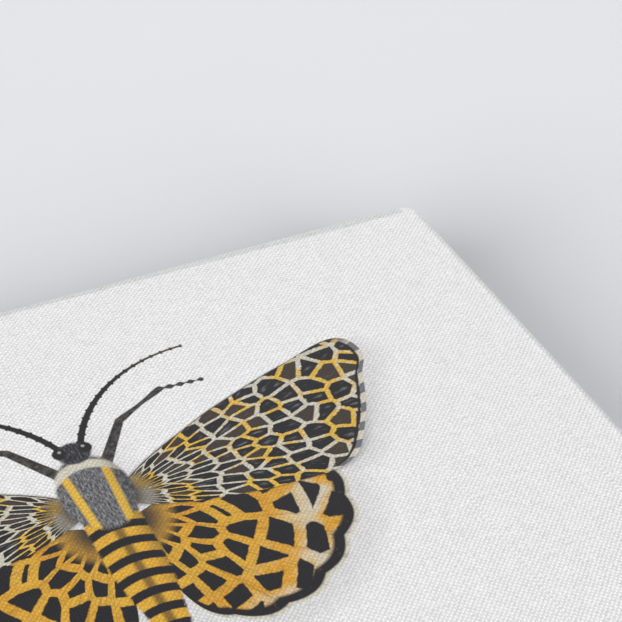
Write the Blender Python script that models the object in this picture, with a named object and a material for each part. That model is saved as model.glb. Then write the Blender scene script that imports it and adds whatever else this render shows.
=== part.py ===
# A stretched canvas print, lying face up: canvas wrapped round four mitred pine
# bars, folded at the corners and stapled behind, with wedge keys and a sawtooth
# hanger on the back. +X runs along the long side, +Y is the picture's top and +Z
# comes out of its face. The origin is under the middle, where the back rests.

import math

import bmesh
import bpy
from mathutils import Matrix, Vector

# Driving dimensions, in metres
MM = 0.001
WIDTH = 300 * MM  # across the picture, over the wrapped sides
HEIGHT = 200 * MM  # up the picture, over the folded ears
DEPTH = 38 * MM  # from the wall to the face
CANVAS = 0.5 * MM
GAP = 0.3 * MM  # between pieces that touch
ROLL = 3 * MM  # outer radius of the canvas where it turns an edge
CORNER = 7 * MM  # outer radius of the upright corners, blunt with folded canvas
STRIP = 22 * MM  # canvas turned over onto the back
FOLD = 2 * CANVAS  # the two more layers of a folded corner

BAR_WIDTH = 32 * MM
BAR_INNER_EDGE = 22 * MM  # height of the sloping front face at its inner edge
BAR_LIP = 4 * MM  # the raised outer lip that carries the canvas
TONGUE_THICK = 4 * MM
TONGUE_LOW = 9.3 * MM  # the long bars' tongues
TONGUE_HIGH = 15.7 * MM  # the short bars' tongues
TONGUE_EDGE = 4 * MM  # wood left outside a slot
SLOT_DEEP = 41 * MM

KEY_START = 14 * MM
KEY_END = 50 * MM
KEY_TIP = 5 * MM
KEY_HEEL = 7.5 * MM

STAPLE_CROWN = 10 * MM
STAPLE_WIRE = 0.6 * MM
STAPLE_BROAD = 1.2 * MM
STAPLE_TIP = 8 * MM
STAPLE_IN = 11 * MM  # from the side to the row of staples
LONG_SIDE_STAPLES = (-90 * MM, -45 * MM, 0, 45 * MM, 90 * MM)
SHORT_SIDE_STAPLES = (-50 * MM, 0, 50 * MM)
CORNER_STAPLE = 131 * MM

HANGER_LONG = 44 * MM
HANGER_BROAD = 8 * MM
HANGER_THICK = 0.7 * MM
HANGER_LOW_EDGE = 67.7 * MM
HANGER_MIDDLE = 14 * MM  # half the raised middle
TEETH = 10
TOOTH_WIDE = 2.6 * MM
TOOTH_DEEP = 1.6 * MM
NAIL_AT = 18.6 * MM
NAIL_R = 0.6 * MM
NAIL_HEAD_R = 1.6 * MM

# Faces that the dimensions set
SIDE_X = WIDTH / 2
SIDE_Y = HEIGHT / 2 - FOLD
STRIP_BACK = FOLD  # the single strips stand off by the fold's thickness
BAR_X = SIDE_X - CANVAS - GAP
BAR_Y = SIDE_Y - CANVAS - GAP
BAR_BACK = STRIP_BACK + CANVAS + GAP
BAR_FRONT = DEPTH - CANVAS - GAP


# Start from an empty scene
for ob in list(bpy.data.objects):
    bpy.data.objects.remove(ob, do_unlink=True)

cutters = bpy.data.collections.new("Cutters")
bpy.context.scene.collection.children.link(cutters)
whole = bpy.data.objects.new("stretched_canvas", None)
bpy.context.scene.collection.objects.link(whole)


# Materials
def material(name, colour, roughness, metallic=0.0):
    made = bpy.data.materials.new(name)
    made.use_nodes = True
    shader = made.node_tree.nodes["Principled BSDF"]
    shader.inputs["Base Color"].default_value = (*colour, 1)
    shader.inputs["Roughness"].default_value = roughness
    shader.inputs["Metallic"].default_value = metallic
    made.diffuse_color = (*colour, 1)
    return made


canvas_white = material("primed_canvas", (0.86, 0.86, 0.85), 0.8)
pine = material("pine", (0.68, 0.49, 0.29), 0.65)
beech = material("beech", (0.60, 0.40, 0.23), 0.6)
staple_steel = material("staple_steel", (0.62, 0.62, 0.64), 0.35, 1.0)
hanger_steel = material("zinc_plate", (0.70, 0.68, 0.62), 0.4, 1.0)


# Shapes
def add(name, mesh, made=None, collection=None):
    ob = bpy.data.objects.new(name, mesh)
    if made:
        mesh.materials.clear()
        mesh.materials.append(made)
        ob.parent = whole
    (collection or bpy.context.scene.collection).objects.link(ob)
    return ob


def finished(bm, name):
    bmesh.ops.recalc_face_normals(bm, faces=bm.faces)
    mesh = bpy.data.meshes.new(name)
    bm.to_mesh(mesh)
    bm.free()
    return mesh


def add_block(bm, low, high):
    low, high = Vector(low), Vector(high)
    size = high - low
    place = Matrix.Translation((low + high) / 2) @ Matrix.Diagonal((*size, 1))
    return bmesh.ops.create_cube(bm, size=1, matrix=place)["verts"]


def add_prism(bm, outline, near, far, at):
    """Joins the outline at near to the outline at far. at turns a point of the
    outline and a distance into a place."""
    ends = [[bm.verts.new(at(point, far_off)) for point in outline] for far_off in (near, far)]
    bm.faces.new(ends[0])
    bm.faces.new(reversed(ends[1]))
    count = len(outline)
    for i in range(count):
        j = (i + 1) % count
        bm.faces.new((ends[0][j], ends[0][i], ends[1][i], ends[1][j]))


def ease(bm, edges, radius, segments=3):
    bmesh.ops.bevel(
        bm, geom=edges, offset=radius, segments=segments, profile=0.5, affect="EDGES", material=-1
    )


def upright(edge):
    one, two = (v.co for v in edge.verts)
    return abs(one.x - two.x) + abs(one.y - two.y) < 1e-6


def rounded_block(name, low, high, radius, corner):
    """The upright corners are eased first, then the edges of both ends."""
    bm = bmesh.new()
    add_block(bm, low, high)
    ease(bm, [e for e in bm.edges if upright(e)], corner, 5)
    rims = [e for e in bm.edges if abs(e.verts[0].co.z - e.verts[1].co.z) < 1e-6]
    ease(bm, rims, radius)
    return finished(bm, name)


def boolean(ob, other, operation):
    other.hide_render = True
    other.display_type = "WIRE"
    change = ob.modifiers.new(other.name, "BOOLEAN")
    change.object = other
    change.operation = operation
    change.solver = "EXACT"


def cutter(name, bm):
    return add(name, finished(bm, name), collection=cutters)


# Where the staples go: the middle of the crown, and which way it runs
def staple_places():
    row_y = SIDE_Y - STAPLE_IN
    row_x = SIDE_X - STAPLE_IN
    for side in (1, -1):
        name = "top" if side > 0 else "bottom"
        for i, x in enumerate(LONG_SIDE_STAPLES, 1):
            yield f"staple_{name}_{i}", (x, side * row_y), 0
        for end, x in (("left", -CORNER_STAPLE), ("right", CORNER_STAPLE)):
            yield f"staple_corner_{name}_{end}", (x, side * row_y), 0
    for side in (1, -1):
        name = "right" if side > 0 else "left"
        for i, y in enumerate(SHORT_SIDE_STAPLES, 1):
            yield f"staple_{name}_{i}", (side * row_x, y), math.pi / 2


staples = list(staple_places())


# The holes that the staples' legs make, and the dents of the corner staples
def turned(x, y, angle, place):
    return (
        place[0] + x * math.cos(angle) - y * math.sin(angle),
        place[1] + x * math.sin(angle) + y * math.cos(angle),
    )


def block_at(bm, place, angle, x_span, y_span, z_span):
    corners = [turned(x, y, angle, place) for x in x_span for y in y_span]
    xs = [c[0] for c in corners]
    ys = [c[1] for c in corners]
    add_block(bm, (min(xs), min(ys), z_span[0]), (max(xs), max(ys), z_span[1]))


holes = bmesh.new()
leg_out = STAPLE_CROWN / 2 + GAP
leg_in = STAPLE_CROWN / 2 - STAPLE_WIRE - GAP
half_broad = STAPLE_BROAD / 2 + GAP
for name, place, angle in staples:
    for span in ((-leg_out, -leg_in), (leg_in, leg_out)):
        block_at(holes, place, angle, span, (-half_broad, half_broad), (-MM, STAPLE_TIP + GAP))
staple_holes = cutter("cut_staple_holes", holes)

dents = bmesh.new()
for name, place, angle in staples:
    if "corner" in name:
        reach = leg_out + 0.3 * MM
        across = half_broad + 0.3 * MM
        block_at(dents, place, angle, (-reach, reach), (-across, across), (-MM, STRIP_BACK))
corner_dents = cutter("cut_corner_dents", dents)


# Canvas: one sheet over the face, the sides and a strip of the back
canvas = add(
    "canvas",
    rounded_block(
        "canvas", (-SIDE_X, -SIDE_Y, STRIP_BACK), (SIDE_X, SIDE_Y, DEPTH), ROLL, CORNER
    ),
    canvas_white,
)
inside = add(
    "cut_canvas_inside",
    rounded_block(
        "cut_canvas_inside",
        (CANVAS - SIDE_X, CANVAS - SIDE_Y, STRIP_BACK + CANVAS),
        (SIDE_X - CANVAS, SIDE_Y - CANVAS, DEPTH - CANVAS),
        ROLL - CANVAS,
        CORNER - CANVAS,
    ),
    collection=cutters,
)
opening = bmesh.new()
add_block(opening, (STRIP - SIDE_X, STRIP - SIDE_Y, -MM), (SIDE_X - STRIP, SIDE_Y - STRIP, 4 * MM))

# The folded corners: an ear on the long side, then a pad on the back that it rests on
fold_out = SIDE_X - 1.2 * MM
fold_top = DEPTH - ROLL - 0.2 * MM
fold_in = fold_out - fold_top
ear = [(fold_out, fold_top), (fold_out, 0), (fold_in, 0)]
pad_out = HEIGHT / 2 - 0.4 * MM
pad_edge = SIDE_Y - STRIP + 0.4 * MM
pad_start = fold_in + 1.6 * MM
pad_in = pad_start + pad_out - pad_edge
pad = [(fold_out, pad_out), (pad_start, pad_out), (pad_in, pad_edge), (fold_out, pad_edge)]
ears = bmesh.new()
pads = bmesh.new()
for sx in (1, -1):
    for sy in (1, -1):
        add_prism(
            ears, ear, SIDE_Y - CORNER, HEIGHT / 2,
            lambda p, off, sx=sx, sy=sy: (sx * p[0], sy * off, p[1]),
        )
        add_prism(
            pads, pad, 0, STRIP_BACK + 0.25 * MM,
            lambda p, off, sx=sx, sy=sy: (sx * p[0], sy * p[1], off),
        )
for group, out in ((ears, HEIGHT / 2), (pads, pad_out)):
    blunt = [
        e for e in group.edges
        if upright(e) and abs(abs(e.verts[0].co.x) - fold_out) + abs(abs(e.verts[0].co.y) - out) < 1e-6
    ]
    ease(group, blunt, CORNER - 0.8 * MM)
corner_ears = cutter("join_corner_ears", ears)
corner_pads = cutter("join_corner_pads", pads)

boolean(canvas, corner_ears, "UNION")
boolean(canvas, corner_pads, "UNION")
boolean(canvas, inside, "DIFFERENCE")
boolean(canvas, cutter("cut_back_opening", opening), "DIFFERENCE")
boolean(canvas, corner_dents, "DIFFERENCE")
boolean(canvas, staple_holes, "DIFFERENCE")


# Bars: a profile with a raised outer lip and a front face that slopes away inwards.
# It runs past the outer faces, which the eased block then cuts.
def bar_profile():
    """Points of distance in from the outer face, and height."""
    spare = MM
    step = 3 * MM
    return [
        (-spare, BAR_BACK - spare), (BAR_WIDTH, BAR_BACK - spare), (BAR_WIDTH, BAR_INNER_EDGE),
        (BAR_LIP + step, BAR_FRONT - step), (BAR_LIP - spare, BAR_FRONT + spare),
        (-spare, BAR_FRONT + spare),
    ]


eased = add(
    "cut_to_eased_block",
    rounded_block(
        "cut_to_eased_block", (-BAR_X, -BAR_Y, BAR_BACK), (BAR_X, BAR_Y, BAR_FRONT),
        ROLL - CANVAS, CORNER - CANVAS - GAP,
    ),
    collection=cutters,
)


# The hanger's nails and their holes in the top bar
nail_holes = bmesh.new()
for side in (1, -1):
    bmesh.ops.create_cone(
        nail_holes, cap_ends=True, segments=12, radius1=NAIL_R + GAP, radius2=NAIL_R + GAP,
        depth=20 * MM,
        matrix=Matrix.Translation((side * NAIL_AT, HANGER_LOW_EDGE + HANGER_BROAD / 2, 0)),
    )
nail_cuts = cutter("cut_nail_holes", nail_holes)


def bar(name, half_long, tongue, slot, at):
    """at(along, inwards, up) gives the place. Each end is mitred, with a tongue at
    one level and a slot for its neighbour's tongue at the other."""
    mitre = GAP / math.sqrt(2)
    bm = bmesh.new()
    add_prism(
        bm, bar_profile(), -1, 1,
        lambda p, end: at(end * (half_long - p[0] - mitre), p[0], p[1]),
    )
    made = add(name, finished(bm, name), pine)
    boolean(made, eased, "INTERSECT")
    tongues = bmesh.new()
    slots = bmesh.new()
    inner = TONGUE_EDGE + GAP
    for end in (1, -1):
        box = [
            (end * (half_long - inner), TONGUE_EDGE - MM, tongue),
            (end * (half_long - 45 * MM), BAR_WIDTH - GAP, tongue + TONGUE_THICK),
        ]
        cut = [
            (end * (half_long + MM), TONGUE_EDGE, slot - GAP),
            (end * (half_long - SLOT_DEEP), BAR_WIDTH + MM, slot + TONGUE_THICK + GAP),
        ]
        for group, (one, two) in ((tongues, box), (slots, cut)):
            one, two = Vector(at(*one)), Vector(at(*two))
            low = [min(a, b) for a, b in zip(one, two)]
            high = [max(a, b) for a, b in zip(one, two)]
            add_block(group, low, high)
    boolean(made, cutter(f"join_tongues_{name}", tongues), "UNION")
    boolean(made, cutter(f"cut_slots_{name}", slots), "DIFFERENCE")
    boolean(made, staple_holes, "DIFFERENCE")
    return made


top = bar("bar_top", BAR_X, TONGUE_LOW, TONGUE_HIGH, lambda a, i, z: (a, BAR_Y - i, z))
bar("bar_bottom", BAR_X, TONGUE_LOW, TONGUE_HIGH, lambda a, i, z: (a, i - BAR_Y, z))
bar("bar_left", BAR_Y, TONGUE_HIGH, TONGUE_LOW, lambda a, i, z: (i - BAR_X, a, z))
bar("bar_right", BAR_Y, TONGUE_HIGH, TONGUE_LOW, lambda a, i, z: (BAR_X - i, a, z))
boolean(top, nail_cuts, "DIFFERENCE")


# Keys: two thin wedges in each corner, one beside each bar
def key(name, level, at):
    near = BAR_WIDTH + GAP
    outline = [
        (KEY_START, near), (KEY_END, near), (KEY_END, near + KEY_HEEL - MM),
        (KEY_END - MM, near + KEY_HEEL), (KEY_START, near + KEY_TIP),
    ]
    bm = bmesh.new()
    add_prism(bm, outline, level, level + TONGUE_THICK, lambda p, z: at(p[0], p[1], z))
    add(name, finished(bm, name), beech)


for sx, x_name in ((1, "right"), (-1, "left")):
    for sy, y_name in ((1, "top"), (-1, "bottom")):
        corner = f"{y_name}_{x_name}"
        key(
            f"key_{corner}_long", TONGUE_LOW,
            lambda u, v, z, sx=sx, sy=sy: (sx * (BAR_X - u), sy * (BAR_Y - v), z),
        )
        key(
            f"key_{corner}_short", TONGUE_HIGH,
            lambda u, v, z, sx=sx, sy=sy: (sx * (BAR_X - v), sy * (BAR_Y - u), z),
        )


# Staples: one bent wire, used in every place
def staple_mesh():
    half = STAPLE_CROWN / 2
    crown_back = STRIP_BACK - GAP - STAPLE_WIRE
    bend = 0.3 * MM
    right = [
        (half - bend, crown_back), (half, crown_back + bend), (half, STAPLE_TIP - 0.8 * MM),
        (half - STAPLE_WIRE, STAPLE_TIP), (half - STAPLE_WIRE, crown_back + STAPLE_WIRE),
    ]
    outline = right + [(-x, z) for x, z in reversed(right)]
    bm = bmesh.new()
    add_prism(
        bm, outline, -STAPLE_BROAD / 2, STAPLE_BROAD / 2, lambda p, off: (p[0], off, p[1])
    )
    return finished(bm, "staple")


wire = staple_mesh()
for name, place, angle in staples:
    made = add(name, wire, staple_steel)
    made.location = (*place, 0)
    made.rotation_euler = (0, 0, angle)


# Hanger: a strip with a raised middle, saw teeth along its lower edge
def hanger_profile():
    end = HANGER_LONG / 2
    low = STRIP_BACK - 0.2 * MM
    rise = HANGER_THICK
    slope = HANGER_MIDDLE + 1.5 * MM
    right = [
        (HANGER_MIDDLE, low - rise), (slope, low), (end, low), (end, low + HANGER_THICK),
        (slope - 0.3 * MM, low + HANGER_THICK), (HANGER_MIDDLE - 0.3 * MM, low - rise + HANGER_THICK),
    ]
    return right + [(-x, z) for x, z in reversed(right)]


bm = bmesh.new()
add_prism(
    bm, hanger_profile(), HANGER_LOW_EDGE, HANGER_LOW_EDGE + HANGER_BROAD,
    lambda p, off: (p[0], off, p[1]),
)
hanger = add("hanger", finished(bm, "hanger"), hanger_steel)

teeth = bmesh.new()
row = TEETH * TOOTH_WIDE / 2
root = HANGER_LOW_EDGE + 0.9 * MM
saw = [(-row, HANGER_LOW_EDGE - MM), (row, HANGER_LOW_EDGE - MM), (row, root)]
for i in range(TEETH):
    x = row - i * TOOTH_WIDE
    saw += [(x - TOOTH_WIDE / 2, root + TOOTH_DEEP), (x - TOOTH_WIDE, root)]
add_prism(teeth, saw, -MM, 3 * MM, lambda p, z: (p[0], p[1], z))
boolean(hanger, cutter("cut_teeth", teeth), "DIFFERENCE")
boolean(hanger, nail_cuts, "DIFFERENCE")


def nail_mesh():
    """A flat head and a pointed shank, turned about its axis."""
    head_back = 0.05 * MM
    under_head = STRIP_BACK - 0.5 * MM
    profile = [
        (0, head_back), (NAIL_HEAD_R, head_back), (NAIL_HEAD_R, under_head),
        (NAIL_R, under_head), (NAIL_R, 7.5 * MM), (0, 8.5 * MM),
    ]
    bm = bmesh.new()
    points = [bm.verts.new((r, 0, z)) for r, z in profile]
    edges = [bm.edges.new(pair) for pair in zip(points, points[1:])]
    bmesh.ops.spin(
        bm, geom=points + edges, cent=(0, 0, 0), axis=(0, 0, 1), angle=math.tau, steps=16,
        use_merge=True,
    )
    bmesh.ops.remove_doubles(bm, verts=bm.verts, dist=1e-6)
    mesh = finished(bm, "hanger_nail")
    mesh.shade_smooth()
    mesh.set_sharp_from_angle(angle=math.radians(30))
    return mesh


nail = nail_mesh()
for side, name in ((1, "hanger_nail_right"), (-1, "hanger_nail_left")):
    made = add(name, nail, hanger_steel)
    made.location = (side * NAIL_AT, HANGER_LOW_EDGE + HANGER_BROAD / 2, 0)
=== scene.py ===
# %% [markdown]
# # A stretched canvas print
# A picture is printed on primed cotton canvas, and the canvas is pulled tight round
# four pine bars. The sides stay white. The corners are folded, the spare cloth is
# stapled behind, and thin wedges in the mitres keep the whole thing taut. The solids
# of every piece are ready in a fixed frame. This file gives them their looks.

import math
import random

import bmesh
import bpy
from mathutils import Matrix, Vector


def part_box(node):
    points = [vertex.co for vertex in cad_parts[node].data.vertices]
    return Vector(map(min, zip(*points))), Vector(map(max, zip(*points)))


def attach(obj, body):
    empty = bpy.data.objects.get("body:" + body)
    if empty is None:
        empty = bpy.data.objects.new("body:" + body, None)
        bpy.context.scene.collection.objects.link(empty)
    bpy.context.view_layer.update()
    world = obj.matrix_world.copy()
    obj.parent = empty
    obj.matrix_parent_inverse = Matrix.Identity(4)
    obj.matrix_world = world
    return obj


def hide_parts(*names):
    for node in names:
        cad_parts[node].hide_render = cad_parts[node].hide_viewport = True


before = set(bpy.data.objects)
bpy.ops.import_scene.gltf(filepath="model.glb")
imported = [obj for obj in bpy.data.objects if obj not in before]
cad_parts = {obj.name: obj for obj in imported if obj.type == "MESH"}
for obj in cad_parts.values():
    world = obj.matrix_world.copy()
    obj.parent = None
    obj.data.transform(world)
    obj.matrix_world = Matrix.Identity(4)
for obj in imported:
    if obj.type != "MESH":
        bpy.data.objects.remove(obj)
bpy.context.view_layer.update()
MM = 0.001
low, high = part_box("canvas")
print("canvas from", [round(v, 4) for v in low], "to", [round(v, 4) for v in high])

# %% [markdown]
# ## The camera
# The picture lies on its back. We look down at its top right corner from about half a
# metre away, through a long lens, with the camera rolled a little. The weave gave these
# angles: its threads run along the edges and are evenly spaced, so their slant and
# spacing over the view fix the lens and the tilt. A guess by eye would be off by several
# degrees.

# %% Camera
LENS = 104.88  # mm, on a 36 mm wide sensor
camera = bpy.data.objects.new("camera", bpy.data.cameras.new("camera"))
camera.data.sensor_width = 36
camera.data.lens = LENS
camera.data.clip_start = 0.01
camera.location = (-0.12847, -0.32360, 0.3900)
camera.rotation_euler = [math.radians(a) for a in (51.373, -3.004, -27.388)]
bpy.context.scene.collection.objects.link(camera)
bpy.context.scene.camera = camera
print("camera", round(camera.location.length, 3), "m from the origin")

# %% [markdown]
# ## Shader maths in plain Python
# A weave, wood grain and a printed moth are all maths on a place. Wiring hundreds of
# Math nodes by hand is slow to read, so a small class wraps a node's output. Adding or
# multiplying two of them adds the node.

# %% A wrapper for shader maths
class Signal:
    """A number that a node gives. Python maths on it adds Math nodes."""

    def __init__(self, finish, socket):
        self.finish = finish
        self.socket = socket

    def math(self, operation, *others):
        values = dict(enumerate([self, *others]))
        return self.finish.node("ShaderNodeMath", {"operation": operation}, values)

    def __add__(self, other):
        return self.math("ADD", other)

    def __sub__(self, other):
        return self.math("SUBTRACT", other)

    def __rsub__(self, other):
        values = {0: other, 1: self}
        return self.finish.node("ShaderNodeMath", {"operation": "SUBTRACT"}, values)

    def __mul__(self, other):
        return self.math("MULTIPLY", other)

    def __truediv__(self, other):
        return self.math("DIVIDE", other)

    def __neg__(self):
        return self * -1

    def __abs__(self):
        return self.math("ABSOLUTE")

    __radd__ = __add__
    __rmul__ = __mul__

    def least(self, other):
        return self.math("MINIMUM", other)

    def most(self, other):
        return self.math("MAXIMUM", other)

    def fade(self, start, end):
        """0 at start, 1 at end, and smooth between them."""
        settings = {"interpolation_type": "SMOOTHSTEP"}
        return self.finish.node(
            "ShaderNodeMapRange", settings, {"Value": self, "From Min": start, "From Max": end}
        )


class Finish:
    """A material, with one method that adds any node to it and short ones for the
    usual nodes."""

    def __init__(self, name, **shader):
        self.material = bpy.data.materials.new(name)
        self.material.use_nodes = True
        self.tree = self.material.node_tree
        self.shader = self.tree.nodes["Principled BSDF"]
        for socket, value in shader.items():
            self.shader.inputs[socket.replace("_", " ")].default_value = value

    def node(self, kind, settings=None, inputs=None, output=0):
        made = self.tree.nodes.new(kind)
        for name, value in (settings or {}).items():
            if name == "points":
                self.set_points(made.mapping, value)
            else:
                setattr(made, name, value)
        for socket, value in (inputs or {}).items():
            self.feed(made.inputs[socket], value)
        return Signal(self, made.outputs[output])

    def feed(self, socket, value):
        if isinstance(value, Signal):
            self.tree.links.new(value.socket, socket)
        elif isinstance(value, tuple) and socket.type == "RGBA":
            socket.default_value = (*value, 1)
        else:
            socket.default_value = value

    def set_points(self, mapping, points):
        curve = mapping.curves[0]
        while len(curve.points) < len(points):
            curve.points.new(0.5, 0.5)
        for point, (x, y) in zip(curve.points, points):
            point.location = (x, y)
        mapping.update()

    def mix(self, factor, first, second):
        """Two colours, of which the factor is the share of the second."""
        values = {0: factor, 6: first, 7: second}
        return self.node("ShaderNodeMix", {"data_type": "RGBA"}, values, 2)

    def place(self):
        """The three Object coordinates, in millimetres."""
        where = self.node("ShaderNodeTexCoord", output="Object")
        return self.split(where, 1 / MM)

    def split(self, vector, scale=1.0):
        scaled = self.node(
            "ShaderNodeVectorMath", {"operation": "SCALE"}, {0: vector, "Scale": scale}
        )
        return [self.node("ShaderNodeSeparateXYZ", None, {0: scaled}, i) for i in range(3)]

    def join(self, x, y, z=0.0):
        return self.node("ShaderNodeCombineXYZ", None, {0: x, 1: y, 2: z})

    def noise(self, where, scale, detail=2.0, roughness=0.5, output=0):
        """Output 0 is one number and output 1 is three, as a colour."""
        values = {"Vector": where, "Scale": scale, "Detail": detail, "Roughness": roughness}
        return self.node("ShaderNodeTexNoise", None, values, output)

    def set(self, **inputs):
        """Feeds the shader. An underscore stands for a space in a socket's name."""
        for socket, value in inputs.items():
            self.feed(self.shader.inputs[socket.replace("_", " ")], value)

    def bump(self, height, strength, distance):
        settings = {"Height": height, "Strength": strength, "Distance": distance}
        return self.node("ShaderNodeBump", None, settings)


print("helpers ready")

# %% [markdown]
# ## The weave
# Plain weave is the simplest cloth: each thread goes over one and under the next. Near
# a crossing one thread is on top, and at the next crossing it is the other. A crossing's
# height is the taller of two rounded threads, each rising and falling with a cosine.
# Every few centimetres two warp threads lie together as one, a double end, and from
# there on over and under change places. It could all be built as real threads, but a
# picture of this size has about 90,000 crossings, so the height goes to a Bump node and
# shades the valleys. Light and shade are also painted into the colour: darker valleys,
# and lighter crests and crossings where the warp is on top.

# %% Plain weave as a height
WARP_PITCH = 0.839  # mm between the threads that run up the picture
WEFT_PITCH = 0.762  # mm between the threads that run across it
DOUBLE_ENDS = (-143, -103, -62, -4, 36, 94, 135)  # mm from the middle
DRIFT_WARP, DRIFT_WEFT = 1.3, 1.2  # mm that the threads drift aside, slowly
SLUB_SHIFT = 2.2  # radians that a thick place pushes a thread along
WEFT_RISE = 0.85  # the weft lies a little deeper than the warp

# How strongly each of these is painted as light and shade on the threads
CHECKER, TWIST, WARP_RIB, WEFT_RIB = 0.83, 0.18, 0.55, 0.15
FAT, SLUB_WARP, SLUB_WEFT = 3.2, 1.2, 1.8


def plain_weave(finish, across, up):
    """At a place in mm on the flat cloth: its height from 0 to 1, and the painted light on
    the threads, from about -1 to 1: lighter where the warp is on top, on the crests and at
    thick places. The yarn's twist makes one diagonal stronger, painted as light and shade."""
    where = finish.join(across, up)
    drift = finish.noise(where, 0.03, 4.0, 0.65, output=1)
    drift_x, drift_y = [
        finish.node("ShaderNodeSeparateColor", None, {0: drift}, i) for i in range(2)
    ]
    slub_warp = finish.noise(finish.join(across * 1.6, up * 0.16), 1.0, 1.0)
    slub_weft = finish.noise(finish.join(across * 0.16, up * 2.0, 7.0), 1.0, 1.0)
    warp_at = (across + drift_x * DRIFT_WARP) * (math.pi / WARP_PITCH) + slub_warp * SLUB_SHIFT
    weft_at = (up + drift_y * DRIFT_WEFT) * (math.pi / WEFT_PITCH) + slub_weft * SLUB_SHIFT
    thread = (warp_at / math.pi).math("ROUND")
    passed = sum(thread.math("GREATER_THAN", end / WARP_PITCH) for end in DOUBLE_ENDS)
    warp_at = warp_at + passed * math.pi
    warp, weft = warp_at.math("COSINE"), weft_at.math("COSINE")
    over_warp = warp * warp * (0.5 + 0.5 * warp.math("SIGN") * weft)
    over_weft = weft * weft * (0.5 - 0.5 * weft.math("SIGN") * warp)
    fat = finish.noise(where, 0.9, 2.0, 1.0)
    twist = (warp_at - weft_at).math("COSINE")
    # Painted light: crests and the warp's crossings lighter, the weft's darker, thick places
    # lighter
    ribs = (warp * warp - 0.5) * WARP_RIB + (weft * weft - 0.5) * WEFT_RIB
    slubs = (slub_warp - 0.5) * SLUB_WARP + (slub_weft - 0.5) * SLUB_WEFT
    painted_thread_light = warp * weft * CHECKER + twist * TWIST + ribs + ((fat - 0.5) * FAT + slubs)
    return over_warp.most(over_weft * WEFT_RISE) * (0.8 + 0.4 * fat), painted_thread_light


def cloth_place(finish):
    """Where a point lies on the cloth when it is laid flat, in mm."""
    flat = finish.node("ShaderNodeUVMap", {"uv_map": "flat_cloth"})
    return finish.split(flat, 1 / MM)[:2]


print("about", round(300 / WARP_PITCH * 200 / WEFT_PITCH), "crossings on the face")

# %% [markdown]
# ## The picture on it
# The printed picture is a spread moth on white, of our own making: black patches with
# cream lines on the forewings, orange hindwings with black spots. It is drawn with
# distances, not pixels. A wing is a reach that depends on the angle about its root,
# which a Float Curve holds. The left half is the right half again, because every
# distance starts from the absolute value of x.

# %% Colours of the ink
PAPER = (0.905, 0.900, 0.905)
BLACK = (0.012, 0.011, 0.014)
UMBER = (0.060, 0.042, 0.030)
CREAM = (0.68, 0.64, 0.53)
ORANGE = (0.76, 0.36, 0.025)
GOLD = (0.80, 0.50, 0.06)
SLATE = (0.17, 0.175, 0.20)

CURVE_UNIT = 100  # mm of reach that the curve's 1 stands for

# Wing outlines: the angle about the root in degrees, and the reach in mm
FOREWING_ROOT = (5, 8)
FOREWING = (
    (-58, 4), (-40, 9), (-27, 22), (-18, 45), (-11, 67), (0, 77), (12, 88), (19, 96),
    (22.5, 95), (26, 74), (31, 45), (38, 22), (50, 8), (60, 4),
)
HINDWING_ROOT = (4, -1)
HINDWING = (
    (-100, 6), (-88, 26), (-80, 42), (-68, 51), (-52, 57), (-32, 61), (-14, 63), (-2, 60),
    (8, 45), (20, 12),
)


def wing(finish, across, up, root, outline):
    """The distance in from the wing's edge, the reach from its root and the angle."""
    over, rise = across - root[0], up - root[1]
    reach = (over * over + rise * rise).math("SQRT")
    angle = rise.math("ARCTAN2", over) * (180 / math.pi)
    start, end = outline[0][0], outline[-1][0]
    points = [((a - start) / (end - start), r / CURVE_UNIT) for a, r in outline]
    values = {"Factor": 1.0, "Value": (angle - start) / (end - start)}
    edge = finish.node("ShaderNodeFloatCurve", {"points": points}, values)
    return edge * CURVE_UNIT - reach, reach, angle


def disc(across, up, middle, size, soft=0.15):
    """1 inside an ellipse and 0 outside."""
    over, rise = (across - middle[0]) / size[0], (up - middle[1]) / size[1]
    return (over * over + rise * rise).math("SQRT").fade(1 + soft, 1 - soft)


def limb(across, up, start, end, thick, tip, swell=0.0, knots=1):
    """1 on a straight limb that tapers from thick to tip, in half widths, and swells
    at its knots."""
    run = Vector(end) - Vector(start)
    over, rise = across - start[0], up - start[1]
    along = ((over * run.x + rise * run.y) / run.length_squared).most(0.0).least(1.0)
    over, rise = over - along * run.x, rise - along * run.y
    width = thick + along * (tip - thick)
    if swell:
        width = width + (along * (math.tau * knots)).math("COSINE") * swell
    return ((over * over + rise * rise).math("SQRT") - width).fade(0.2, -0.2)


def cells(finish, row, column, seed):
    """Irregular cells: the distance in from a cell's border, and the cell's own random
    number. row and column count cells."""
    where = finish.join(row, column, seed)
    settings = {"voronoi_dimensions": "2D", "feature": "DISTANCE_TO_EDGE"}
    values = {"Vector": where, "Scale": 1.0, "Randomness": 0.75}
    border = finish.node("ShaderNodeTexVoronoi", settings, values)
    settings = {"voronoi_dimensions": "2D", "feature": "F1"}
    own = finish.node("ShaderNodeTexVoronoi", settings, values, output=1)
    return border, finish.node("ShaderNodeSeparateColor", None, {0: own})


def ground_shade(finish, across, up):
    """The soft shadow on the white ground, from the same outlines moved a little."""
    side, under = abs(across - 3.5), up + 4.0
    fore = wing(finish, side, under, FOREWING_ROOT, FOREWING)[0]
    hind = wing(finish, side, under, HINDWING_ROOT, HINDWING)[0]
    body = disc(across - 5.0, up, (0, -14), (13, 42), 0.5)
    return fore.most(hind).fade(-7.0, 5.0).most(body)


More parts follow.
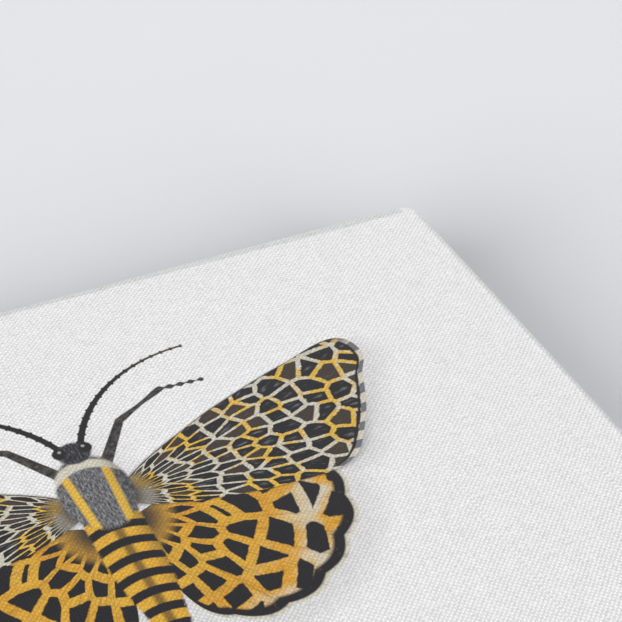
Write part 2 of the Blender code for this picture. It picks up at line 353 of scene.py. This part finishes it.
def hindwing(finish, colour, side, up, grain, broad):
    """Orange with rows of black spots, a scalloped black border and a cream fringe."""
    depth, reach, angle = wing(finish, side, up, HINDWING_ROOT, HINDWING)
    wave = abs((angle * 0.21).math("SINE"))
    depth = depth - (1 - wave) * 1.6
    pleat = finish.noise(finish.join(angle * 0.5, reach * 0.02), 1.0, 2.0)
    ink = finish.mix((broad * 2.2 - 0.65).least(1.0).most(0.0), GOLD, ORANGE)
    ink = finish.mix((grain - 0.35) * 0.9, ink, (0.40, 0.14, 0.02))
    ink = finish.mix(reach.fade(34, 56) * broad.fade(0.62, 0.4), ink, CREAM)
    border, own = cells(finish, reach / 9.5, angle / 14 + reach * 0.01, 3.0)
    spot = (border + (grain - 0.5) * 0.10 - own * 0.10).fade(0.10, 0.15)
    ink = finish.mix((wave * reach * 0.8).fade(1.3, 0.2) * reach.fade(8, 30) * 0.5, ink, UMBER)
    ink = finish.mix(spot * reach.fade(9, 14), ink, BLACK)
    ink = finish.mix(depth.fade(5.5, 4.0) * (grain + 0.6).least(1.0), ink, BLACK)
    ink = finish.mix(depth.fade(1.7, 0.9), ink, CREAM)
    ink = finish.mix(pleat.fade(0.5, 0.75) * 0.35, ink, BLACK)
    ink = finish.mix(reach.fade(15, 4), ink, UMBER)
    return finish.mix(depth.fade(-0.2, 0.25), colour, ink)


def forewing(finish, colour, side, up, grain, broad):
    """Black patches in a cream and gold net, with a chequered fringe at the tip."""
    depth, reach, angle = wing(finish, side, up, FOREWING_ROOT, FOREWING)
    colour = finish.mix(depth.fade(-4.0, 0.5) * reach.fade(92, 60) * 0.5, colour, BLACK)
    net = finish.mix((broad - 0.5 + (grain - 0.5) * 0.4).fade(-0.02, 0.05), CREAM, GOLD)
    net = finish.mix((grain - 0.42) * 0.9, net, (0.34, 0.31, 0.27))
    border, own = cells(finish, reach / 7.6 + grain * 0.15, angle / 5.0 + reach * 0.012, 9.0)
    patch = (border + (grain - 0.5) * 0.12).fade(0.075, 0.13)
    sheen = finish.noise(finish.join(angle * 0.9, reach * 0.16), 1.0, 3.0).fade(0.50, 0.72)
    dark = finish.mix(sheen * border.fade(0.15, 0.4), BLACK, SLATE)
    dark = finish.mix(own.fade(0.72, 0.8) * 0.8, dark, UMBER)
    ink = finish.mix(patch * reach.fade(6, 12), net, dark)
    lead = (depth * (angle.fade(14, 24) * 0.75 + 0.25)).fade(2.2, 1.0) * angle.fade(20, 25)
    ink = finish.mix(lead, ink, UMBER)
    outer = angle.fade(24, 19) * reach.fade(58, 66)
    fringe = finish.mix((angle * 1.23).math("SINE").fade(-0.2, 0.2), SLATE, CREAM)
    ink = finish.mix(depth.fade(2.2, 1.6) * outer, ink, fringe)
    ink = finish.mix(depth.fade(3.4, 2.7) * depth.fade(1.8, 2.3) * outer, ink, BLACK)
    ink = finish.mix(reach.fade(14, 3), ink, UMBER)
    return finish.mix(depth.fade(-0.2, 0.2), colour, ink)


FEELER_CENTRE, FEELER_RADIUS = (46, 14), 46.5  # mm, the circle that a feeler follows


def limbs(finish, colour, side, up, grain):
    """A front leg of three joints, and a feeler of many."""
    leg = limb(side, up, (6, 21), (17, 37), 1.9, 1.3)
    leg = leg.most(limb(side, up, (17, 37), (33, 45), 1.0, 0.9, 0.25))
    leg = leg.most(limb(side, up, (33, 45), (46, 44), 0.75, 0.5, 0.35, 4))
    ink = finish.mix(grain.fade(0.35, 0.75), BLACK, (0.12, 0.11, 0.10))
    colour = finish.mix(leg, colour, ink)
    over, rise = side - FEELER_CENTRE[0], up - FEELER_CENTRE[1]
    ring = (over * over + rise * rise).math("SQRT")
    turn = rise.math("ARCTAN2", over) * (180 / math.pi)
    width = 0.4 + turn.fade(96, 150) * 0.6 + (turn * 1.5).math("SINE").fade(0.6, 1.0) * 0.35
    feeler = (abs(ring - FEELER_RADIUS) - width).fade(0.2, -0.2)
    feeler = feeler * turn.fade(88, 89) * turn.fade(159, 158)
    return finish.mix(feeler, colour, finish.mix(turn.fade(125, 95), BLACK, UMBER))


def body(finish, colour, across, up):
    """A banded tail, a furry grey back with two stripes, and a small head with eyes."""
    side = abs(across)
    fur = finish.noise(finish.join(across * 0.42, up * 0.13), 4.0, 4.0, 0.7)
    fuzz = (fur - 0.5) * 2.2
    taper = (up + 46).fade(-6, 34) * 4.2 + 4.0
    mask = (taper - side + fuzz).fade(-0.4, 0.6) * (up + 47 + fuzz).fade(0, 2.5) * up.fade(8, 2)
    bands = ((up + side * side * 0.03 + fuzz * 0.3) * (math.tau / 6.4)).math("SINE")
    skin = finish.mix(bands.fade(-0.35, 0.15), BLACK, finish.mix(fur, GOLD, ORANGE))
    skin = finish.mix(side.fade(2.2, 0.4) * 0.7, skin, BLACK)
    skin = finish.mix((across - 1.5).fade(1.0, 9.0) * 0.7, skin, BLACK)
    colour = finish.mix(mask, colour, skin)
    torso = disc(side, up + fuzz * 0.6, (0, 13), (10.5, 15), 0.07)
    coat = finish.mix(fur.fade(0.35, 0.75), (0.05, 0.05, 0.055), (0.38, 0.38, 0.40))
    stripe = (abs(side - 5.6 - (up - 13) * 0.06) - 1.2 + fuzz * 0.5).fade(0.5, -0.5)
    coat = finish.mix(stripe * up.fade(26, 20), coat, GOLD)
    collar = (abs(up - 24.3 + side * side * 0.05) - 1.7 + fuzz * 0.5).fade(0.5, -0.5)
    coat = finish.mix(collar, coat, CREAM)
    coat = finish.mix((across - 2).fade(1.0, 10.0) * 0.6, coat, BLACK)
    colour = finish.mix(torso, colour, coat)
    head = disc(side, up + fuzz * 0.3, (0, 29.5), (5.0, 4.4), 0.12)
    colour = finish.mix(head, colour, finish.mix(fur.fade(0.4, 0.8), BLACK, SLATE))
    colour = finish.mix(disc(side, up, (4.0, 30.6), (1.9, 2.1), 0.14), colour, BLACK)
    return finish.mix(disc(side, up, (3.5, 31.4), (0.5, 0.5), 0.5) * 0.7, colour, CREAM)


def moth(finish, across, up):
    """The ink's colour at a place on the face."""
    side = abs(across)
    grain = finish.noise(finish.join(side, up), 0.55, 4.0, 0.65)
    broad = finish.noise(finish.join(side, up), 0.07, 2.0)
    shade = ground_shade(finish, across, up)
    colour = finish.mix(shade * 0.34, PAPER, (0.46, 0.44, 0.44))
    colour = hindwing(finish, colour, side, up, grain, broad)
    colour = forewing(finish, colour, side, up, grain, broad)
    colour = limbs(finish, colour, side, up, grain)
    return body(finish, colour, across, up)


print("the moth spans", 2 * (FOREWING_ROOT[0] + 90), "mm")

# %% [markdown]
# ## Canvas finishes
# The cloth has three surfaces. The face carries ink on white primer, the sides are
# primer alone, and behind the cloth is raw cotton, a warm grey with darker flecks of
# seed. All three share the weave. The valleys get painted shade, faint on the primed
# cloth and deep in the raw cotton, and the matt coat has hardly any gloss.

# %% Primed and printed canvas
CANVAS_HALF = (150, 99)  # mm from the middle to the sides
NO_INK = (2.7, 3.85)  # mm between the ink's end and the sides
# Painted shade: how dark the valleys between threads are painted
VALLEY_SHADE, RAW_VALLEY_SHADE = 0.03, 0.45  # how dark the valleys between threads are
# how strongly the painted light and shade on the threads shows
THREAD_SHADE = 0.158
THREAD_RELIEF = 0.07 * MM


def ink_reach(finish, x, y, z):
    """1 where the cloth is printed. The print stops just before the cloth rolls over, on
    a ragged line, a little sooner towards the ends. At the two short sides it thins out
    over the roll, and at the corners it reaches round."""
    across, up = abs(x), abs(y)
    ragged = (finish.noise(finish.join(x, y), 0.8, 2.0) - 0.5) * 0.9
    top = up - (CANVAS_HALF[1] - NO_INK[1]) + across.fade(20, 130) * 0.8
    side = across - (CANVAS_HALF[0] - NO_INK[0]) + up.fade(0, 70) * 0.4
    corner = across.fade(143.0, 144.5) * up.fade(91.5, 93.0)
    ink = (top.most(side) + ragged).fade(0.35, -0.35)
    thin = (top.most(side - 3) + ragged).fade(0.35, -0.35) * 0.5
    return ink.most(thin).most(corner) * z.fade(34.5, 36.5)


def canvas_finish(name, ground, printed=False, raw=False):
    """Woven cloth on a ground colour, printed with the moth, primed alone or raw."""
    finish = Finish(name, Roughness=0.78, Specular_IOR_Level=0.3)
    across, up = cloth_place(finish)
    height, painted_thread_light = plain_weave(finish, across, up)
    colour = ground
    if printed:
        x, y, z = finish.place()
        colour = finish.mix(ink_reach(finish, x, y, z), ground, moth(finish, x, y))
    if raw:
        flecks = finish.noise(finish.join(across, up * 0.35), 0.8, 3.0, 0.7).fade(0.66, 0.74)
        colour = finish.mix(flecks * 0.5, colour, (0.30, 0.23, 0.15))
    # Painted shade: the valleys go darker, and so do the threads where their painted light is
    # low
    valley_shade = height.fade(0.75, 0.15) * (RAW_VALLEY_SHADE if raw else VALLEY_SHADE)
    dim = valley_shade + (1 - painted_thread_light) * THREAD_SHADE
    colour = finish.mix(dim, colour, (0.0, 0.0, 0.0))
    stain = finish.noise(finish.join(across, up), 0.012, 2.0)
    finish.set(Base_Color=colour, Roughness=0.86 - 0.12 * height + (stain - 0.5) * 0.06)
    finish.set(Normal=finish.bump(height, 0.5, THREAD_RELIEF))
    return finish.material


PRIMER = (0.721, 0.725, 0.731)
print_face = canvas_finish("printed_canvas", PRIMER, printed=True)
primed = canvas_finish("primed_canvas", PRIMER)
raw_cotton = canvas_finish("raw_canvas", (0.56, 0.50, 0.40), raw=True)
print("nodes in the print", len(print_face.node_tree.nodes))

# %% [markdown]
# ## The stretched cloth
# The wrap starts as a plain block, bevelled along every edge with the radius that thick
# canvas takes round a bar. The middle of its back is cut away, which leaves the face, the
# sides and a turned-over strip. Solidify then gives the cloth its thickness inwards.
# A cloth simulation isn't needed: stretched canvas is as flat as a drum.

# %% Helpers for meshes
def to_object(bm, name, materials, smooth=30):
    mesh = bpy.data.meshes.new(name)
    bm.to_mesh(mesh)
    bm.free()
    for material in materials:
        mesh.materials.append(material)
    mesh.shade_smooth()
    mesh.set_sharp_from_angle(angle=math.radians(smooth))
    ob = bpy.data.objects.new(name, mesh)
    bpy.context.scene.collection.objects.link(ob)
    return ob


def keep_flats_flat(ob):
    """Large faces keep their own normals, and only the small ones between them bend."""
    ob.modifiers.new("flats", "WEIGHTED_NORMAL").keep_sharp = True


def add_block(bm, low, high):
    low, high = Vector(low), Vector(high)
    middle = Matrix.Translation((low + high) / 2)
    stretch = Matrix.Diagonal((*(high - low), 1))
    bmesh.ops.create_cube(bm, size=1, matrix=middle @ stretch)


def ease(bm, edges, radius, segments):
    """Rounds edges over."""
    bmesh.ops.bevel(
        bm, geom=edges, offset=radius, segments=segments, profile=0.5, affect="EDGES",
        material=-1, clamp_overlap=True,
    )


def upright(edge):
    one, two = (v.co for v in edge.verts)
    return (one.xy - two.xy).length < 1e-6


# %% Sizes of the wrap
CLOTH = 0.5 * MM
ROLL = 3 * MM  # radius of the edges
CORNER = 7 * MM  # radius of the corners, seen from above
STRIP = 22 * MM  # what is turned over behind
FOLD = 2 * CLOTH  # a fold is two layers thick
HALF_LONG = high.x
HALF_SHORT = high.y - FOLD
FACE = high.z
BACK = FOLD
CUT_LONG = HALF_LONG - STRIP  # where the cloth ends behind
CUT_SHORT = HALF_SHORT - STRIP


def along_cloth(out, z, half):
    """How far a point is from the middle when the cloth is laid flat: along the face,
    round the roll, down the side, round the second roll and in over the back."""
    past, over = out - (half - ROLL), z - (FACE - ROLL)
    if past > 0 and over > 0:
        return half - ROLL + ROLL * math.atan2(past, over)
    if over > 0:
        return out
    round_front = half + (math.pi / 2 - 1) * ROLL
    under = BACK + ROLL - z
    if under < 0:
        return round_front - over
    round_side = round_front + FACE - BACK - 2 * ROLL
    if past > 0:
        return round_side + ROLL * (math.pi / 2 - math.atan2(past, under))
    return round_side + ROLL * math.pi / 2 + half - ROLL - out


def laid_flat(position, face):
    """Where a point of a face of the wrap lies on the flat cloth. Each face belongs to
    the nearest side."""
    x, y, z = position
    flat = [x, y]
    if face.normal.z > 0.99:
        return flat
    if face.normal.z < -0.99:
        middle = face.calc_center_median()
        on_x = HALF_LONG - abs(middle.x) < HALF_SHORT - abs(middle.y)
    else:
        on_x = abs(face.normal.x) > abs(face.normal.y)
    axis, half = (0, HALF_LONG) if on_x else (1, HALF_SHORT)
    flat[axis] = math.copysign(along_cloth(abs(position[axis]), z, half), position[axis])
    return flat


def lay_flat(bm):
    """Writes every corner's place on the flat cloth, in metres, as a UV."""
    layer = bm.loops.layers.uv.new("flat_cloth")
    for face in bm.faces:
        for loop in face.loops:
            loop[layer].uv = laid_flat(loop.vert.co, face)


def round_over(bm):
    ease(bm, [e for e in bm.edges if upright(e)], CORNER, 6)
    ease(bm, [e for e in bm.edges if not upright(e)], ROLL, 5)


# %% The wrap
bm = bmesh.new()
add_block(bm, (-HALF_LONG, -HALF_SHORT, BACK), (HALF_LONG, HALF_SHORT, FACE))
round_over(bm)
for cut_at in ((CUT_LONG, 0, 0), (-CUT_LONG, 0, 0), (0, CUT_SHORT, 0), (0, -CUT_SHORT, 0)):
    behind = [f for f in bm.faces if f.normal.z < -0.99]
    around = {e for f in behind for e in f.edges} | {v for f in behind for v in f.verts}
    bmesh.ops.bisect_plane(bm, geom=[*behind, *around], plane_co=cut_at, plane_no=cut_at)
opening = min(bm.faces, key=lambda f: (f.calc_center_median() - Vector((0, 0, BACK))).length)
bmesh.ops.delete(bm, geom=[opening], context="FACES")
lay_flat(bm)
bmesh.ops.recalc_face_normals(bm, faces=bm.faces)
wrap = to_object(bm, "canvas_wrap", [print_face, raw_cotton, primed], 60)
thick = wrap.modifiers.new("cloth_thickness", "SOLIDIFY")
thick.thickness = CLOTH
thick.offset = -1
thick.material_offset = 1
thick.material_offset_rim = 1
keep_flats_flat(wrap)
print("wrap has", len(wrap.data.polygons), "faces")

# %% [markdown]
# ## The folded corners
# At a corner the spare cloth makes a square, which is folded on its diagonal into an
# ear and laid against the long side. Its lower part turns over onto the back, where it
# makes the thickest place, and the picture rests on it. Each fold starts as a second
# block, larger than the wrap by the fold, with the same rounding. Slanting planes cut
# it down to the ear and the turned-over pad, so the fold lines run true round the
# corner, and then it gets the thickness of two layers.

# %% Corner folds
FOLD_DROP = 1.5 * MM  # how far under the face an ear starts
FOLD_EASE = 0.38 * MM
NEST = 0.02 * MM  # keeps a fold's surface from lying in the wrap's
CORNER_STAPLE = (131 * MM, 88 * MM)
DENT_HALF = (5.7 * MM, 1.3 * MM)  # the dent that the staple presses into the pad
DENT_DEEP = 0.85 * MM


def cut_away(bm, point, keep):
    """Keeps what lies on one side of a plane."""
    bmesh.ops.bisect_plane(
        bm, geom=bm.verts[:] + bm.edges[:] + bm.faces[:], plane_co=point, plane_no=keep,
        clear_inner=True,
    )


def carved(name, bm, cutter_bm):
    """Cuts one closed mesh out of another and gives the result."""
    pieces = [to_object(bm, name, []), to_object(cutter_bm, name + "_cutter", [])]
    cut = pieces[0].modifiers.new("cut", "BOOLEAN")
    cut.object = pieces[1]
    cut.operation = "DIFFERENCE"
    cut.solver = "EXACT"
    result = bmesh.new()
    result.from_object(pieces[0], bpy.context.evaluated_depsgraph_get())
    for piece in pieces:
        bpy.data.objects.remove(piece)
    return result


def corner_fold(sx, sy, name):
    """The fold of the right top corner, mirrored to the corner that sx and sy name."""
    outer = HALF_SHORT + FOLD
    bm = bmesh.new()
    add_block(bm, (NEST - HALF_LONG, -outer, 0), (HALF_LONG - NEST, outer, FACE))
    round_over(bm)
    cut_away(bm, (HALF_LONG, 0, FACE - FOLD_DROP), (1, 0, -1))
    cut_away(bm, (HALF_LONG - FACE + 3 * MM, outer, 0), (1, 1, 0))
    cut_away(bm, (0, HALF_SHORT - STRIP + 0.4 * MM, 0), (0, 1, 0))
    side = [f for f in bm.faces if f.normal.x > 0.99]
    bmesh.ops.delete(bm, geom=side, context="FACES")
    bmesh.ops.recalc_face_normals(bm, faces=bm.faces)
    if sum(f.normal.z * f.calc_area() for f in bm.faces) > 0:
        bmesh.ops.reverse_faces(bm, faces=bm.faces)
    bmesh.ops.solidify(bm, geom=bm.faces[:], thickness=FOLD - NEST)
    bmesh.ops.recalc_face_normals(bm, faces=bm.faces)
    ease(bm, [e for e in bm.edges if e.calc_face_angle(0) > 0.9], FOLD_EASE, 3)
    dent = bmesh.new()
    (x, y), (long, wide) = CORNER_STAPLE, DENT_HALF
    add_block(dent, (x - long, y - wide, -MM), (x + long, y + wide, DENT_DEEP))
    ease(dent, dent.edges[:], 0.5 * MM, 2)
    bm = carved(name, bm, dent)
    bmesh.ops.scale(bm, verts=bm.verts, vec=(sx, sy, 1))
    bmesh.ops.recalc_face_normals(bm, faces=bm.faces)
    lay_flat(bm)
    fold = to_object(bm, name, [primed], 50)
    keep_flats_flat(fold)
    return fold


folds = []
for sx, x_name in ((1, "right"), (-1, "left")):
    for sy, y_name in ((1, "top"), (-1, "bottom")):
        folds.append(corner_fold(sx, sy, f"corner_fold_{y_name}_{x_name}"))
print("folds", [len(f.data.polygons) for f in folds])

# %% [markdown]
# ## Frayed edges
# Behind, the cloth is cut with shears and not hemmed, so thread ends stick out of the
# cut. Hair particles could do it, but they don't export as a mesh. Each thread here is a
# tiny square drawn out in four bent steps, and a seeded random number sets how it lies.

# %% Loose threads
THREAD = 0.14 * MM  # radius
THREAD_SPACING = 5 * MM
THREAD_LENGTH = (1.0, 3.2)  # mm


def cotton_finish():
    finish = Finish("loose_cotton", Roughness=0.9, Specular_IOR_Level=0.2)
    fibre = finish.noise(finish.join(*finish.place()), 3.0, 3.0, 0.7)
    finish.set(Base_Color=finish.mix(fibre, (0.80, 0.76, 0.68), (0.58, 0.52, 0.42)))
    finish.set(Normal=finish.bump(fibre, 0.5, 0.05 * MM))
    return finish.material


def loose_thread(bm, start, heading, length, curl):
    """One thread that bends by curl, in radians, at every step."""
    turn = heading.to_track_quat("Z", "X").to_matrix().to_4x4()
    base = bmesh.ops.create_circle(
        bm, cap_ends=True, radius=THREAD, segments=4, matrix=Matrix.Translation(start) @ turn
    )
    tip = base["verts"][0].link_faces[0]
    place = start
    for bend in range(4):
        step = Matrix.Rotation(curl * bend, 3, "Z") @ heading * (length / 4)
        drawn = bmesh.ops.extrude_face_region(bm, geom=[tip])["geom"]
        tip = next(g for g in drawn if isinstance(g, bmesh.types.BMFace))
        place = place + step
        bmesh.ops.translate(bm, verts=tip.verts, vec=step)
        bmesh.ops.scale(
            bm, verts=tip.verts, vec=(0.85, 0.85, 0.85), space=Matrix.Translation(-place)
        )


def frayed_side(bm, chance, half_length, at, inwards):
    """Threads along one cut. at(along) gives a place on it."""
    along = -half_length
    while along < half_length:
        heading = Vector(inwards) + Vector((chance.gauss(0, 0.45), chance.gauss(0, 0.45), 0))
        heading.z = chance.uniform(-0.05, 0.12)
        start = Vector(at(along)) - Vector(inwards) * 0.5 * MM
        length = chance.uniform(*THREAD_LENGTH) * MM
        loose_thread(bm, start, heading.normalized(), length, chance.gauss(0, 0.35))
        along += THREAD_SPACING * chance.uniform(0.3, 1.7)


chance = random.Random(11)
bm = bmesh.new()
level = BACK + CLOTH / 2
for side in (1, -1):
    frayed_side(
        bm, chance, CUT_LONG - FACE / 2, lambda a: (a, side * CUT_SHORT, level), (0, -side, 0)
    )
    frayed_side(
        bm, chance, CUT_SHORT - MM, lambda a: (side * CUT_LONG, a, level), (-side, 0, 0)
    )
bmesh.ops.recalc_face_normals(bm, faces=bm.faces)
frayed = to_object(bm, "frayed_threads", [cotton_finish()], 60)
print("frayed threads have", len(frayed.data.polygons), "faces")

# %% [markdown]
# ## Wood
# Stretcher bars are planed pine: pale early wood, thin dark lines of late wood that run
# along the bar, and a few fine pores. Rings are waves of the distance across the grain,
# bent by slow noise. The keys are harder beech, with short flecks. Each takes its grain
# direction from the way that the piece lies.

# %% Wood finishes
def wood_finish(name, light, dark, along, ring, seed):
    """Wood whose grain runs along x or y, with a late-wood line every ring mm."""
    finish = Finish(name, Roughness=0.6, Specular_IOR_Level=0.35)
    x, y, z = finish.place()
    length, breadth = (x, y) if along == "x" else (y, x)
    slow = finish.noise(finish.join(length * 0.006, breadth * 0.05, z * 0.05 + seed), 1.0, 2.0)
    pores = finish.join(length * 0.05, breadth * 1.6, z * 1.6 + seed)
    fine = finish.noise(pores, 1.0, 4.0, 0.65)
    across = breadth + z * 0.55 + slow * 26
    wave = (across * (math.tau / ring)).math("SINE") * 0.5 + 0.5
    late = wave.math("POWER", 3.0)
    colour = finish.mix(late * 0.75, light, dark)
    colour = finish.mix(fine.fade(0.35, 0.8) * 0.45, colour, dark)
    patch = finish.noise(finish.join(length * 0.02, breadth * 0.08, seed), 1.0, 2.0)
    colour = finish.mix(patch.fade(0.4, 0.8) * 0.3, colour, (0.45, 0.25, 0.11))
    finish.set(Base_Color=colour, Roughness=0.5 + 0.2 * fine + 0.05 * late)
    finish.set(Normal=finish.bump(fine * 0.7 + late * 0.4, 0.5, 0.12 * MM))
    return finish.material


PINE_LIGHT, PINE_DARK = (0.70, 0.50, 0.29), (0.47, 0.27, 0.12)
BEECH_LIGHT, BEECH_DARK = (0.60, 0.40, 0.24), (0.36, 0.20, 0.10)
pine_long = wood_finish("pine_along_x", PINE_LIGHT, PINE_DARK, "x", 3.6, 3.1)
pine_short = wood_finish("pine_along_y", PINE_LIGHT, PINE_DARK, "y", 3.1, 8.4)
beech_long = wood_finish("beech_along_x", BEECH_LIGHT, BEECH_DARK, "x", 1.7, 5.5)
beech_short = wood_finish("beech_along_y", BEECH_LIGHT, BEECH_DARK, "y", 1.7, 9.7)

# %% [markdown]
# ## Eased edges
# Sawn wood never ends in a perfect corner. The solids of the bars and keys have the true
# shape but knife edges, so each is copied, its loose triangles are merged back into flat
# faces, and the edges are bevelled by a fraction of a millimetre to catch the light.

# %% Bars and keys
BAR_EASE, KEY_EASE = 0.35 * MM, 0.25 * MM


def eased_copy(node, material, radius):
    """A copy of a solid with its sharp edges rounded over."""
    bm = bmesh.new()
    bm.from_mesh(bpy.data.objects[node].data)
    bmesh.ops.remove_doubles(bm, verts=bm.verts, dist=0.002 * MM)
    bmesh.ops.dissolve_limit(
        bm, angle_limit=math.radians(1), verts=bm.verts, edges=bm.edges,
        use_dissolve_boundaries=False,
    )
    sharp = [e for e in bm.edges if e.calc_face_angle(0) > math.radians(25)]
    ease(bm, sharp, radius, 2)
    piece = to_object(bm, f"{node}_eased", [material], 40)
    keep_flats_flat(piece)
    return piece


wood = []
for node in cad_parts:
    if node.startswith("bar_"):
        material = pine_long if node in ("bar_top", "bar_bottom") else pine_short
        wood.append((eased_copy(node, material, BAR_EASE), node, "pine"))
    if node.startswith("key_"):
        material = beech_long if node.endswith("_long") else beech_short
        wood.append((eased_copy(node, material, KEY_EASE), node, "key_wood"))
print("eased", len(wood), "pieces of wood")

# %% [markdown]
# ## Metal
# Staples are drawn steel wire, bright with fine scratches along it. The hanger and its
# nails are zinc plated, a duller grey with faint cloudy patches. Only the roughness and
# the colour change over them, because their shapes are already right.

# %% Metal finishes
def metal_finish(name, light, dark, rough):
    """Plated or drawn metal with cloudy patches and fine scratches along x."""
    finish = Finish(name, Metallic=1.0, Roughness=rough)
    x, y, z = finish.place()
    cloud = finish.noise(finish.join(x, y, z), 0.45, 3.0, 0.6)
    scratch = finish.noise(finish.join(x * 0.5, y * 6, z * 6), 1.0, 2.0)
    finish.set(Base_Color=finish.mix(cloud.fade(0.3, 0.7), light, dark))
    finish.set(Roughness=rough - 0.1 + cloud * 0.2 + scratch * 0.12)
    finish.set(Normal=finish.bump(scratch, 0.25, 0.02 * MM))
    return finish.material


steel = metal_finish("staple_wire", (0.66, 0.66, 0.68), (0.48, 0.48, 0.50), 0.32)
zinc = metal_finish("zinc_plate", (0.74, 0.73, 0.70), (0.55, 0.53, 0.49), 0.42)
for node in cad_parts:
    if node.startswith("staple_"):
        bpy.data.objects[node].material_slots[0].material = steel
    if node.startswith("hanger"):
        bpy.data.objects[node].material_slots[0].material = zinc

# %% [markdown]
# ## Putting it together
# Every piece rides on the one body. The wrap and its folds stand for the canvas solid,
# and the eased wood for the bars and keys. The size that the cloth was cut to is worked
# out and printed: the face, both sides and both strips.

# %% Fit the pieces to the frame
for piece in [wrap, *folds, frayed]:
    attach(piece, "root")
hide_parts("canvas")
for piece, node, slot in wood:
    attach(piece, "root")
    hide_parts(node)
turned = FACE - BACK + STRIP
cut_size = (2 * (HALF_LONG + turned), 2 * (HALF_SHORT + turned))
print("canvas cut", [round(v * 1000) for v in cut_size], "mm")

# %% [markdown]
# ## Floor and light
# A plain pale floor and large soft lamps, as in a product photograph. Three broad lamps
# stand at the left and near sides, so a soft shade lies beyond the top edge and a deeper
# one beyond the right. The fourth stands low at the far side and lights the rims there.
# Each lamp is placed by its compass angle and its height in degrees. Two of them stand
# high enough to keep the upright sides below pure white.

# %% Floor
FLOOR_HALF = 7.0  # m, wide enough that no low view sees past it
floor = Finish("pale_floor", Roughness=0.8, Specular_IOR_Level=0.3)
fx, fy, fz = floor.place()
wash = floor.noise(floor.join(fx * 0.004, fy * 0.004), 1.0, 2.0)
floor.set(Base_Color=floor.mix(wash, (0.708, 0.712, 0.741), (0.732, 0.736, 0.765)))
bm = bmesh.new()
bmesh.ops.create_grid(bm, x_segments=1, y_segments=1, size=FLOOR_HALF)
ground = to_object(bm, "floor", [floor.material])


# %% Lamps
LAMP_AWAY = 8.0  # m
LAMP_WIDE = 4.8  # m
ROOM_LIGHT = 0.055  # the little light that comes from everywhere


def lamp(name, compass, rise, power):
    """A square soft box that faces the picture. Angles in degrees, power in watts."""
    light = bpy.data.lights.new(name, "AREA")
    light.shape = "SQUARE"
    light.size = LAMP_WIDE
    light.energy = power
    turn, tilt = math.radians(compass), math.radians(rise)
    over = math.cos(tilt)
    place = Vector((over * math.cos(turn), over * math.sin(turn), math.sin(tilt)))
    ob = bpy.data.objects.new(name, light)
    ob.location = place * LAMP_AWAY
    ob.rotation_euler = (-place).to_track_quat("-Z", "Y").to_euler()
    bpy.context.scene.collection.objects.link(ob)


lamp("far_lamp", 60, 12, 842)
lamp("left_lamp", 210, 28, 635)
lamp("near_lamp", 270, 28, 395)
lamp("low_left_lamp", 210, 12, 240)
world = bpy.data.worlds.new("soft_room")
world.use_nodes = True
world.node_tree.nodes["Background"].inputs["Color"].default_value = (0.98, 0.985, 1.0, 1)
world.node_tree.nodes["Background"].inputs["Strength"].default_value = ROOM_LIGHT
bpy.context.scene.world = world
bpy.context.scene.view_settings.view_transform = "Standard"
